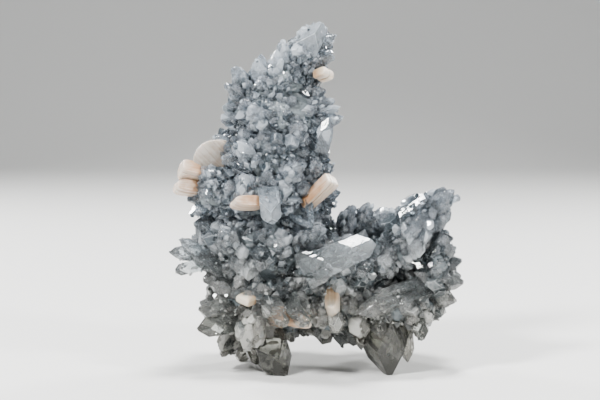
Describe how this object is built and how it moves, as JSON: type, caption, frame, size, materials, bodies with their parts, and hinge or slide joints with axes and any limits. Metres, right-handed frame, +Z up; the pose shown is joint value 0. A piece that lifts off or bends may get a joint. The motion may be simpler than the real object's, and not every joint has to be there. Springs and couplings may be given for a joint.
{
  "type": "apophyllite cluster",
  "caption": "Free-standing apophyllite cluster: a leaning tower and a hollow-faced side lobe of square pointed crystals on crystal feet, with peach stilbite sheaves",
  "frame": {"origin": "centre of the bounding box in plan, on the surface that the feet stand on", "axes": "+Z up, +X to the right with the tower on the left, -Y towards the viewer"},
  "size_m": [0.0988, 0.0546, 0.1188],
  "materials": {
    "apophyllite": "translucent grey-blue crystal with clear points",
    "stilbite": "pearly peach"
  },
  "bodies": {
    "root": {"apophyllite_cluster": "apophyllite", "stilbite_fan_left": "stilbite", "stilbite_sheaf_left_upper": "stilbite", "stilbite_sheaf_left_lower": "stilbite", "stilbite_sheaf_middle": "stilbite", "stilbite_sheaf_right": "stilbite", "stilbite_block_top": "stilbite", "stilbite_block_low_left": "stilbite", "stilbite_wedge_low_middle": "stilbite", "stilbite_blade_low_edge": "stilbite", "stilbite_sheaf_back_tower": "stilbite", "stilbite_sheaf_back_foot": "stilbite"}
  },
  "joints": []
}
